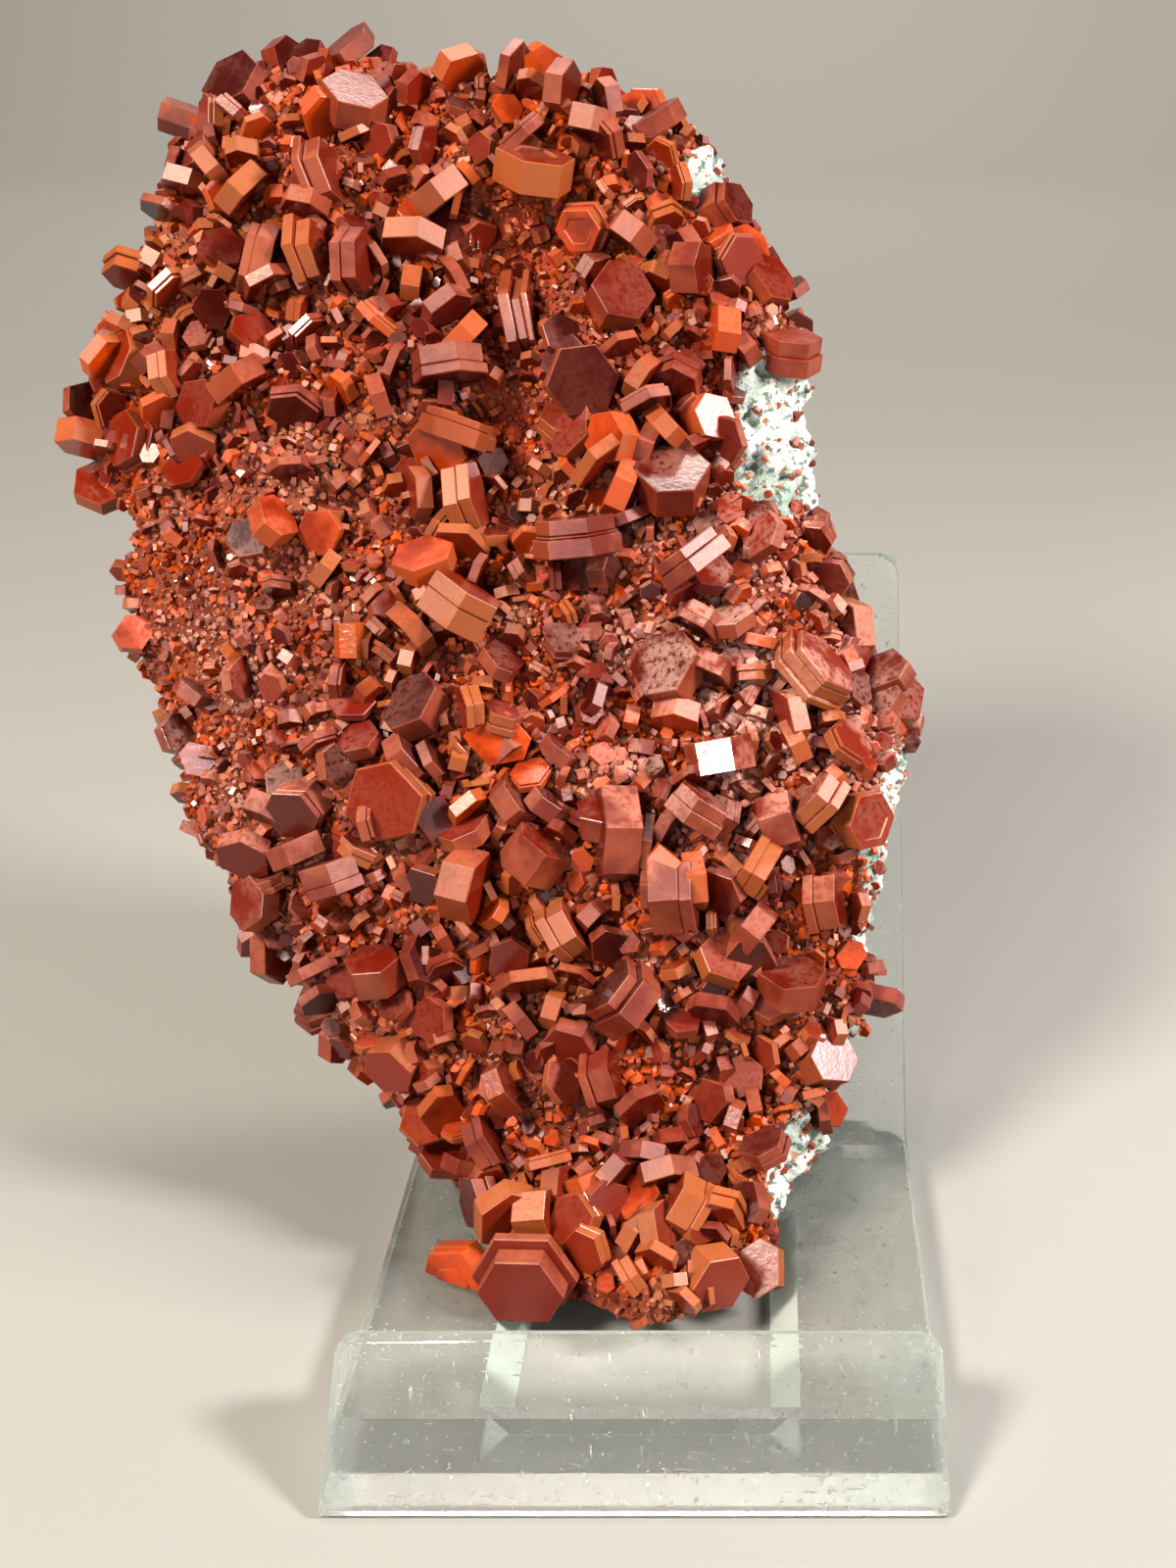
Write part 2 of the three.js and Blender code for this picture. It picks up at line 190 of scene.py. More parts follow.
# %% [markdown]
# ## Lamps and floor
# Five lamps: a warm key from the front, left and above; a weak, wide fill from the right; an edge
# lamp on the right for the sides of crystals and acrylic; a small glint lamp low in front, placed
# for one crystal's flash; and a backdrop lamp. The floor is pale paper that sweeps up into a wall.
# The view is the plain Standard transform, with its gamma a little under 1.

# %% Lamps and floor


def area_lamp(name, place, target, size, power, colour):
    lamp = bpy.data.lights.new(name, "AREA")
    lamp.shape = "DISK"
    lamp.size = size
    lamp.energy = power
    lamp.color = colour
    holder = bpy.data.objects.new(name, lamp)
    holder.location = place
    holder.rotation_euler = (Vector(target) - Vector(place)).to_track_quat("-Z", "Y").to_euler()
    bpy.context.scene.collection.objects.link(holder)


middle = (-0.017, 0.02, 0.06)
area_lamp("key_lamp", (-0.38, -0.30, 0.52), middle, 0.22, 7.8, (1.0, 0.92, 0.80))
area_lamp("fill_lamp", (0.50, -0.45, 0.25), middle, 0.40, 0.5, (0.90, 0.94, 1.0))
area_lamp("edge_lamp", (0.44, -0.10, 0.34), middle, 0.12, 5.2, (1.0, 0.97, 0.95))
area_lamp("glint_lamp", (-0.14, -0.49, 0.20), middle, 0.05, 0.8, (0.92, 0.95, 1.0))
area_lamp("backdrop_lamp", (0.0, 0.9, 1.7), (0.0, 2.0, 0.6), 1.0, 55.0, (1.0, 0.95, 0.88))
bpy.context.scene.view_settings.view_transform = "Standard"
bpy.context.scene.view_settings.gamma = 0.92
bpy.context.scene.view_settings.exposure = 0.10

world = bpy.data.worlds.new("studio")
bpy.context.scene.world = world
world.use_nodes = True
world.node_tree.nodes["Background"].inputs["Color"].default_value = (0.93, 0.91, 0.88, 1)
world.node_tree.nodes["Background"].inputs["Strength"].default_value = 0.03


def new_material(name):
    """An empty material, with its tree and its Principled shader."""
    material = bpy.data.materials.new(name)
    material.use_nodes = True
    return material, Tree(material.node_tree), material.node_tree.nodes["Principled BSDF"]


def feed(tree, shader, **inputs):
    """Sets or links the shader's sockets. Underscores in the names stand for spaces."""
    for name, value in inputs.items():
        socket = shader.inputs[name.replace("_", " ")]
        if isinstance(value, Wire):
            tree.tree.links.new(value.socket, socket)
        else:
            socket.default_value = value


floor_material, tree, shader = new_material("floor_paper")
feed(tree, shader, Base_Color=(0.27, 0.26, 0.242, 1), Roughness=0.8)
FLOOR_TOP = -0.0001
FLOOR_HALF = 5.0
SWEEP_START, SWEEP_RADIUS, WALL_TOP, SWEEP_STEPS = 1.4, 0.9, 4.0, 24
profile = [(-FLOOR_HALF, FLOOR_TOP)]
for k in range(SWEEP_STEPS + 1):
    angle = math.pi / 2 * k / SWEEP_STEPS
    rise = SWEEP_RADIUS * (1 - math.cos(angle))
    profile.append((SWEEP_START + SWEEP_RADIUS * math.sin(angle), FLOOR_TOP + rise))
profile.append((SWEEP_START + SWEEP_RADIUS, WALL_TOP))
sweep_points = [(x, y, z) for y, z in profile for x in (-FLOOR_HALF, FLOOR_HALF)]
sweep_faces = [(2 * i, 2 * i + 1, 2 * i + 3, 2 * i + 2) for i in range(len(profile) - 1)]
floor_mesh = bpy.data.meshes.new("floor")
floor_mesh.from_pydata(sweep_points, [], sweep_faces)
floor_mesh.materials.append(floor_material)
for polygon in floor_mesh.polygons:
    polygon.use_smooth = True
floor = bpy.data.objects.new("floor", floor_mesh)
bpy.context.scene.collection.objects.link(floor)
print("lamps and floor ready")

# %% [markdown]
# ## Vanadinite
# Vanadinite is resinous, almost like wet lacquer, because it bends light so strongly. The flat
# hexagonal ends are deep red. The six prism faces carry fine dust; their tan and mauve colours
# are partly that dust and partly a painted sheen, the room's light reflected by the satin faces.
# Each crystal's mesh says which faces are ends with the attribute `basal`, and `tone` gives each
# crystal its own place between oxblood, red and orange. The orange is partly the crystal's own
# colour and partly a painted glow of light shining through thin crystals.

# %% Vanadinite material
DUST_COLOUR = (0.58, 0.32, 0.26, 1)


def vanadinite_material(name, dustiness):
    material, tree, shader = new_material(name)
    place = tree.add("ShaderNodeTexCoord", {}, {}, "Object")
    basal = tree.attribute("basal")
    tone = tree.attribute("tone")
    gloss = tree.attribute("gloss")
    cloud = tree.noise(160.0, 3.0, 0.6, place)
    grain = tree.noise(1500.0, 2.0, 0.6, place)
    red = tree.mix(tone.ramp(0.0, 0.7), (0.035, 0.002, 0.0015, 1), (0.17, 0.010, 0.002, 1))
    # Orange end of tone: partly the crystal's own colour, partly a painted glow through thin crystals.
    red = tree.mix(tone.ramp(0.72, 0.95) * cloud.ramp(0.3, 0.6), red, (0.45, 0.048, 0.001, 1))
    # Prism faces: tan and mauve, partly fine dust and partly painted sheen of reflected room light.
    side_mauve = tree.mix(cloud.ramp(0.35, 0.65), (0.15, 0.018, 0.009, 1), (0.26, 0.048, 0.017, 1))
    region = tree.noise(28.0, 2.0, 0.5, place)
    tanned = tone + (region - 0.5) * 2.2
    side = tree.mix(tanned.ramp(0.35, 0.8), side_mauve, (0.31, 0.080, 0.020, 1))
    # Orange prism faces: partly own colour, partly painted glow of light through thin crystals.
    side = tree.mix(tone.ramp(0.78, 0.95) * cloud.ramp(0.3, 0.6), side, (0.42, 0.055, 0.003, 1))
    colour = tree.mix(basal * 0.85 + 0.05, side, red)
    facing = tree.add("ShaderNodeNewGeometry", {}, {}, "Normal")
    height = tree.add("ShaderNodeSeparateXYZ", {}, {0: facing}, "Z")
    settled = height.ramp(-0.2, 0.8) * cloud.ramp(0.38, 0.56) * grain.ramp(0.3, 0.55)
    dust = (settled * tree.attribute("dusty") * dustiness).clamp()
    colour = tree.mix(dust, colour, DUST_COLOUR)
    roughness = (0.42 - 0.32 * gloss - 0.16 * basal + 0.30 * dust + 0.06 * grain).clamp()
    bump = tree.add(
        "ShaderNodeBump", {}, {"Strength": 0.12, "Distance": 0.0002, "Height": grain + cloud * 0.5}
    )
    feed(tree, shader, Base_Color=colour, Roughness=roughness, Normal=bump, IOR=1.5)
    return material


clean_vanadinite = vanadinite_material("vanadinite_clean", 0.6)
dusty_vanadinite = vanadinite_material("vanadinite_dusty", 1.0)


def druse_material():
    """The carpet of tiny crystals: bright orange-brown, with pink dust where it has settled."""
    material, tree, shader = new_material("orange_druse")
    place = tree.add("ShaderNodeTexCoord", {}, {}, "Object")
    tone = tree.attribute("tone")
    cloud = tree.noise(110.0, 3.0, 0.6, place)
    orange = tree.mix(tone.ramp(0.0, 0.8), (0.13, 0.009, 0.0005, 1), (0.46, 0.066, 0.001, 1))
    brown = tree.mix(tone.ramp(0.0, 0.8), (0.19, 0.030, 0.008, 1), (0.36, 0.100, 0.028, 1))
    colour = tree.mix(cloud.ramp(0.52, 0.62), orange, brown)
    dust = (cloud.ramp(0.42, 0.6) * tree.attribute("dusty")).clamp()
    colour = tree.mix(dust, colour, DUST_COLOUR)
    feed(tree, shader, Base_Color=colour, Roughness=0.26 + 0.5 * dust + 0.2 * tone, IOR=1.5)
    return material


druse = druse_material()
print("vanadinite materials ready")

# %% [markdown]
# ## Rock and crust
# The rock shows only where the crust has broken away: pale, fibrous and grey-green on the right
# edge and over the whole back. Everywhere else it is a granular orange-brown crust. One material
# does both, and the attribute `pale` says where each one is.

# %% Rock material
rock_material, tree, shader = new_material("rock_and_crust")
place = tree.add("ShaderNodeTexCoord", {}, {}, "Object")
pale = tree.attribute("pale")
valley = tree.attribute("valley")
broad = tree.noise(70.0, 4.0, 0.6, place)
fine = tree.noise(700.0, 4.0, 0.65, place)
specks = tree.noise(420.0, 2.0, 0.5, place)
crust = tree.mix(broad.ramp(0.35, 0.65), (0.14, 0.014, 0.001, 1), (0.22, 0.036, 0.005, 1))
crust = tree.mix(fine.ramp(0.5, 0.75), crust, (0.40, 0.12, 0.035, 1))
crust = tree.mix(valley * 0.8, crust, (0.36, 0.034, 0.001, 1))
white = tree.mix(broad.ramp(0.4, 0.6), (0.30, 0.36, 0.31, 1), (0.78, 0.78, 0.72, 1))
white = tree.mix(fine.ramp(0.52, 0.60), white, (0.10, 0.15, 0.12, 1))
white = tree.mix(specks.ramp(0.64, 0.70) * 0.8, white, (0.45, 0.13, 0.03, 1))
edge = (pale + (fine - 0.5) * 0.7).ramp(0.42, 0.58)
colour = tree.mix(edge, crust, white)
bump = tree.add("ShaderNodeBump", {}, {"Strength": 1.0, "Distance": 0.0007, "Height": fine + specks})
feed(tree, shader, Base_Color=colour, Roughness=0.78 - 0.2 * fine, Normal=bump)
print("rock material ready")

# %% [markdown]
# ## Rock shape
# The frame's rock is a smooth solid. A copy of it is remeshed into even small cells, and every
# point is moved along its normal by layered noise. Near the stand the noise is weaker and only
# moves points inward.

# %% Rock mesh


def merged_copy(node, name):
    """A copy of a frame node's mesh as a new object, with its loose triangles joined."""
    mesh = nodes[node].data.copy()
    shape = bmesh.new()
    shape.from_mesh(mesh)
    bmesh.ops.remove_doubles(shape, verts=shape.verts, dist=0.01 * MM)
    shape.to_mesh(mesh)
    shape.free()
    mesh.materials.clear()
    result = bpy.data.objects.new(name, mesh)
    bpy.context.scene.collection.objects.link(result)
    return result


def bake_modifiers(thing):
    """Turns an object's evaluated modifiers into its plain mesh."""
    graph = bpy.context.evaluated_depsgraph_get()
    mesh = bpy.data.meshes.new_from_object(thing.evaluated_get(graph))
    thing.modifiers.clear()
    thing.data = mesh


def set_attribute(mesh, name, values, domain="POINT"):
    layer = mesh.attributes.new(name, "FLOAT", domain)
    layer.data.foreach_set("value", np.asarray(values, np.float32))


def smoothstep(value, low, high):
    t = min(max((value - low) / (high - low), 0.0), 1.0)
    return t * t * (3 - 2 * t)


def mark_dust(mesh):
    """Fine pink dust lies thickest on the middle and the right of the plate: attribute `dusty`."""
    places = np.empty(3 * len(mesh.vertices), np.float32)
    mesh.vertices.foreach_get("co", places)
    offsets = places.reshape(-1, 3) - np.array(PLATE_ORIGIN, np.float32)
    u, v = offsets @ np.array(ACROSS) / MM, offsets @ np.array(UP) / MM
    thick = np.exp(-(((u - 11) / 19) ** 2) - ((v - 67) / 21) ** 2)
    flank = 0.5 * np.exp(-(((u + 56) / 18) ** 2) - ((v - 55) / 34) ** 2)
    set_attribute(mesh, "dusty", 0.1 + 0.9 * np.maximum(thick, flank))


def blob(u, v, centre_u, centre_v, half_u, half_v):
    """1 at a patch's centre, falling to 0 at its rim."""
    return max(0.0, 1 - ((u - centre_u) / half_u) ** 2 - ((v - centre_v) / half_v) ** 2)


PALE_PATCHES = [(6, 132, 5, 8), (15, 99, 9, 15), (32, 44, 12, 24), (26, 22, 9, 13), (19, 8, 8, 12)]
CELL = 0.75 * MM
rock = merged_copy("matrix", "rock_and_crust")
remesh = rock.modifiers.new("cells", "REMESH")
remesh.mode = "VOXEL"
remesh.voxel_size = CELL
bake_modifiers(rock)


RAGGED_CELL = 7 * MM
VALLEY_LEFT, VALLEY_WIDTH, VALLEY_START, VALLEY_END = 17, 6, (76, 90), (122, 138)
FLANK_EDGE, FLANK_START, FLANK_END = (34, 48), (22, 34), (86, 100)
GAP_CELL, GAP_OFFSET, GAP_LIMITS = 11 * MM, Vector((3, 1, 7)), (0.12, 0.3)
REST_TOP, REST_DEPTH, REST_UP = SHEET + 1.5 * MM, -19.6, 80


def rock_fields(point, normal):
    """The rock's masks at one of its points: pale, valley, coat and large."""
    u, v, _ = on_plate(point)
    ragged = noise.noise(point / RAGGED_CELL)
    back = 1 - smoothstep(normal.dot(OUT) + 0.25 * ragged, -0.45, -0.1)
    patch = max(blob(u, v, *row) for row in PALE_PATCHES)
    patch = smoothstep(patch + 0.35 * ragged, 0.25, 0.5)
    pale = max(back, patch)
    valley = math.exp(-(((u + VALLEY_LEFT) / VALLEY_WIDTH) ** 2))
    valley = valley * smoothstep(v, *VALLEY_START) * (1 - smoothstep(v, *VALLEY_END))
    coat = (1 - back) * (1 - 0.85 * patch)
    flank = smoothstep(-u + 0.3 * (v - 60), *FLANK_EDGE)
    flank = flank * smoothstep(v, *FLANK_START) * (1 - smoothstep(v, *FLANK_END))
    gaps = smoothstep(noise.noise(point / GAP_CELL + GAP_OFFSET), *GAP_LIMITS)
    large = coat * (1 - 0.55 * flank) * (1 - 0.8 * valley) * (1 - 0.35 * gaps) * (1 - patch)
    coat *= smoothstep(point.z, SHEET + 0.6 * MM, SHEET + 1.2 * MM)
    large *= smoothstep(point.z, SHEET + 1.2 * MM, SHEET + 2.6 * MM)
    return pale, valley, coat, large


def shape_rock(mesh):
    fields = []
    mesh.update()
    moved = []
    for vertex in mesh.vertices:
        point, normal = vertex.co.copy(), vertex.normal.copy()
        masks = rock_fields(point, normal)
        u, v, n = on_plate(point)
        lumps = 2.0 * noise.noise(point / (9 * MM)) + 0.8 * noise.noise(point / (3.5 * MM)) + 0.3
        grains = 0.4 * noise.noise(point / (1.7 * MM)) * (1 + 2.5 * masks[0])
        fibres = 1.4 * abs(noise.noise(Vector((u / 1.8, v / 6.0, n / 2.2))))
        height = lumps + grains + masks[0] * fibres
        resting = point.z < REST_TOP or (n < REST_DEPTH and v < REST_UP)
        if resting:
            height = min(height, 0.0) * 0.3
        moved.append(point + normal * height * MM)
        fields.append(masks)
    for vertex, place in zip(mesh.vertices, moved):
        vertex.co = place
    for index, name in enumerate(("pale", "valley", "coat", "large")):
        set_attribute(mesh, name, [row[index] for row in fields])


shape_rock(rock.data)
rock.data.materials.append(rock_material)
for polygon in rock.data.polygons:
    polygon.use_smooth = True
print("rock faces:", len(rock.data.polygons))

# %% [markdown]
# ## One crystal
# A vanadinite crystal is a short hexagonal prism. Real ones are uneven: the six sides stand at
# slightly different distances, the edges are a little rounded, and many are stacks of two or
# three plates that grew together. The profile below is a list of rings from one end to the other.

# %% Crystal shape
BEVEL_SHARE = 0.014
SLIP_SHARE = 0.04
HOLLOW_CHANCE = 0.12


def hexagon_ring(sides, z, shrink, shift=(0.0, 0.0)):
    """The corners where six side planes meet, each plane moved in by shrink."""
    ring = []
    for k in range(6):
        a, b = math.radians(60 * k), math.radians(60 * (k + 1))
        p, q = sides[k] - shrink, sides[(k + 1) % 6] - shrink
        sine = math.sin(b - a)
        x = (p * math.sin(b) - q * math.sin(a)) / sine
        y = (q * math.cos(a) - p * math.cos(b)) / sine
        ring.append((x + shift[0], y + shift[1], z))
    return ring


def crystal_profile(low, high, size, chance, plates):
    """Rings as (z, shrink, shift) from the bottom end to the top end of a stack of plates."""
    bevel = BEVEL_SHARE * size
    cuts = sorted(chance.uniform(0.25, 0.8) for _ in range(plates - 1))
    levels = [low] + [low + (high - low) * c for c in cuts] + [high]
    rings = []
    for i in range(plates):
        inset = 0.0 if i == 0 else chance.uniform(0.0, 0.09) * size
        shift = (0.0, 0.0)
        if i > 0:
            shift = tuple(chance.uniform(-SLIP_SHARE, SLIP_SHARE) * size for _ in range(2))
        groove = 0.5 * bevel if i else 0.0
        rings.append((levels[i] + groove, inset + bevel, shift))
        rings.append((levels[i] + groove + bevel, inset, shift))
        rings.append((levels[i + 1] - bevel, inset, shift))
        rings.append((levels[i + 1], inset + bevel, shift))
    if chance.random() < HOLLOW_CHANCE:
        step = chance.choice((-1, 1)) * 0.03 * size
        z, inset, shift = rings[-1]
        wide = inset + chance.uniform(0.1, 0.22) * size
        rings.append((z, wide, shift))
        rings.append((z + step, wide + 0.02 * size, shift))
    return rings


def crystal_mesh(name, sides, rings):
    """A closed mesh through the rings, with its end faces marked in the attribute `basal`."""
    points = []
    for z, shrink, shift in rings:
        points += hexagon_ring(sides, z, shrink, shift)
    faces = [tuple(range(5, -1, -1))]
    basal = [1.0]
    for i in range(len(rings) - 1):
        flat = abs(rings[i + 1][1] - rings[i][1]) > 1.5 * abs(rings[i + 1][0] - rings[i][0])
        for k in range(6):
            j = (k + 1) % 6
            faces.append((6 * i + k, 6 * i + j, 6 * i + 6 + j, 6 * i + 6 + k))
            basal.append(1.0 if flat else 0.0)
    last = 6 * (len(rings) - 1)
    faces.append(tuple(range(last, last + 6)))
    basal.append(1.0)
    mesh = bpy.data.meshes.new(name)
    mesh.from_pydata(points, [], faces)
    set_attribute(mesh, "basal", basal, "FACE")
    return mesh


# %% [markdown]
# ## The large crystals
# Each large crystal has its own solid in the frame, cut off where it enters the rock. Its axis
# is found from that solid: it is the direction that most of the surface is either square to or
# level with. A finer crystal is then grown in the same place, reaching a little into the crust.

# %% Large crystals
PLATES = {
    "level_bar": 2, "double_plate": 3, "great_double_prism": 2, "grey_bar": 2, "middle_bar": 2,
    "slanting_plate": 2, "curved_tablet": 3, "foot_great_tablet": 2, "tall_prism": 3,
    "upper_left_tablet_1": 2, "top_upright_tablet": 2, "great_dark_tablet": 2,
}


SAME_WAY, PARALLEL, SQUARE = 0.9995, 0.999, 0.02
SIDE_SHARES = (0.86, 0.98)
END_SPARE = 0.07
ROOT_DEPTH = 0.3 * MM
BASE_GAP = 0.3 * MM


def flat_sides(mesh):
    """The mesh's main flat directions, as [direction, area], largest first."""
    found = []
    for polygon in mesh.polygons:
        for row in found:
            if row[0].dot(polygon.normal) > SAME_WAY:
                row[1] += polygon.area
                break
        else:
            found.append([polygon.normal.copy(), polygon.area])
    return sorted(found, key=lambda row: -row[1])


def crystal_frame(node):
    """The crystal's axis, the direction of one side, and its six side distances and two ends."""
    mesh = nodes[node].data
    found = flat_sides(mesh)

    def agreement(axis):
        turns = [(abs(n.dot(axis)), area) for n, area in found]
        return sum(area for turn, area in turns if turn > PARALLEL or turn < SQUARE)

    axis = max((n for n, area in found[:10]), key=agreement)
    side = next(n for n, area in found if abs(n.dot(axis)) < SQUARE)
    if axis.dot(OUT) < 0:
        axis = -axis
    side = (side - axis * side.dot(axis)).normalized()
    across = axis.cross(side)
    points = [v.co for v in mesh.vertices]
    angles = [math.radians(60 * k) for k in range(6)]
    directions = [side * math.cos(angle) + across * math.sin(angle) for angle in angles]
    reach = [max(p.dot(d) for p in points) for d in directions]
    widths = [reach[k] + reach[k + 3] for k in range(3)]
    width = max(widths)
    shown = [any(n.dot(d) > PARALLEL for n, area in found) for d in directions]
    for k in range(6):
        opposite = (k + 3) % 6
        if not shown[k] and shown[opposite]:
            reach[k] = width - reach[opposite]
    centre = Vector((0, 0, 0))
    for k in range(6):
        centre += directions[k] * (reach[k] - reach[(k + 3) % 6]) / 6
    ends = [min(p.dot(axis) for p in points), max(p.dot(axis) for p in points)]
    turn = Matrix((side, across, axis)).transposed()
    return turn, centre, width / 2, ends


def stand_on_base(mesh):
    """Cuts off what would reach into the acrylic base under the specimen."""
    base = SHEET + BASE_GAP
    if min(vertex.co.z for vertex in mesh.vertices) > base:
        return
    shape = bmesh.new()
    shape.from_mesh(mesh)
    parts = shape.verts[:] + shape.edges[:] + shape.faces[:]
    cut = bmesh.ops.bisect_plane(
        shape, geom=parts, plane_co=(0, 0, base), plane_no=(0, 0, -1), clear_outer=True
    )
    rim = [part for part in cut["geom_cut"] if isinstance(part, bmesh.types.BMEdge)]
    bmesh.ops.edgeloop_fill(shape, edges=rim)
    shape.to_mesh(mesh)
    shape.free()


def grow_large_crystal(node):
    chance = random.Random(node)
    turn, centre, apothem, ends = crystal_frame(node)
    sides = [apothem * chance.uniform(*SIDE_SHARES) for _ in range(6)]
    size = 2 * apothem
    spare = END_SPARE * (ends[1] - ends[0])
    ends = [ends[0] + spare, ends[1] - spare]
    plates = PLATES.get(node, chance.choice((1, 1, 2)))
    rings = crystal_profile(ends[0] - ROOT_DEPTH, ends[1], size, chance, plates)
    mesh = crystal_mesh(node + "_crystal", sides, rings)
    place = Matrix.Translation(centre) @ turn.to_4x4()
    mesh.transform(place)
    stand_on_base(mesh)
    set_attribute(mesh, "tone", [tone_of(node, chance)] * len(mesh.vertices))
    set_attribute(mesh, "gloss", [gloss_of(node, chance)] * len(mesh.vertices))
    mark_dust(mesh)
    mesh.materials.append(clean_vanadinite)
    piece = bpy.data.objects.new(node + "_crystal", mesh)
    bpy.context.scene.collection.objects.link(piece)
    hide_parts(node)
    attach(piece, "root")
    return piece


def tone_of(node, chance):
    """Where a crystal's colour lies between oxblood, at 0, and orange, at 1; the orange is partly painted glow.
    """
    if "dark" in node or node == "crown_tablet":
        return 0.05
    if "orange" in node or "gold" in node or "ring" in node:
        return 0.95
    if "mauve" in node or "pink" in node:
        return 0.25
    return chance.uniform(0.2, 0.75)


def gloss_of(node, chance):
    """How clean and mirror-like a crystal's faces are, from 0 to 1."""
    if node in ("mirror_prism", "left_gold_prism"):
        return 1.0
    return 0.0 if node == "great_double_prism" else chance.choice((0.0, 0.2, 0.4))


crystal_nodes = [node for node in sorted(nodes) if node not in ("acrylic_stand", "matrix")]
large_crystals = [grow_large_crystal(node) for node in crystal_nodes]
print("large crystals:", len(large_crystals))

# %% [markdown]
# ## Seeds for the smaller crystals
# The smaller crystals repeat a few shapes. These seeds are one unit wide and are never shown.
# Geometry Nodes copies them over the rock at the right size.

# %% Seed crystals


def seed_collection(name, count, plates, ratios, bevelled=True):
    """A hidden collection of unit crystals of different thickness."""
    collection = bpy.data.collections.new(name)
    for i in range(count):
        chance = random.Random(f"{name}{i}")
        ratio = ratios[0] + (ratios[1] - ratios[0]) * i / max(count - 1, 1)
        sides = [0.5 * chance.uniform(0.8, 1.08) for _ in range(6)]
        if bevelled:
            rings = crystal_profile(-ratio / 2, ratio / 2, 1.0, chance, plates[i % len(plates)])
        else:
            rings = [(-ratio / 2, 0.0, (0, 0)), (ratio / 2, 0.0, (0, 0))]
        mesh = crystal_mesh(f"{name}_{i}", sides, rings)
        collection.objects.link(bpy.data.objects.new(f"{name}_{i}", mesh))
    return collection


medium_seeds = seed_collection("medium_seed", 8, (1, 1, 2, 1), (0.2, 0.48))
small_seeds = seed_collection("small_seed", 6, (1,), (0.25, 0.6), bevelled=False)
tiny_seeds = seed_collection("tiny_seed", 4, (1,), (0.45, 1.1), bevelled=False)

# %% [markdown]
# ## The coat of crystals
# One Geometry Nodes tree makes every layer of the coat. It spreads points over the rock by a
# mask, leans each crystal's axis away from the surface by a random angle, keeps clear of the
# large crystals, and gives each crystal a random size and tone.

# %% Coat tree
AXIS_SEED, LEAN_SEED, SPIN_SEED, SIZE_SEED, TONE_SEED, GLOSS_SEED = 11, 12, 13, 14, 15, 16
FULL_TURN = 6.28


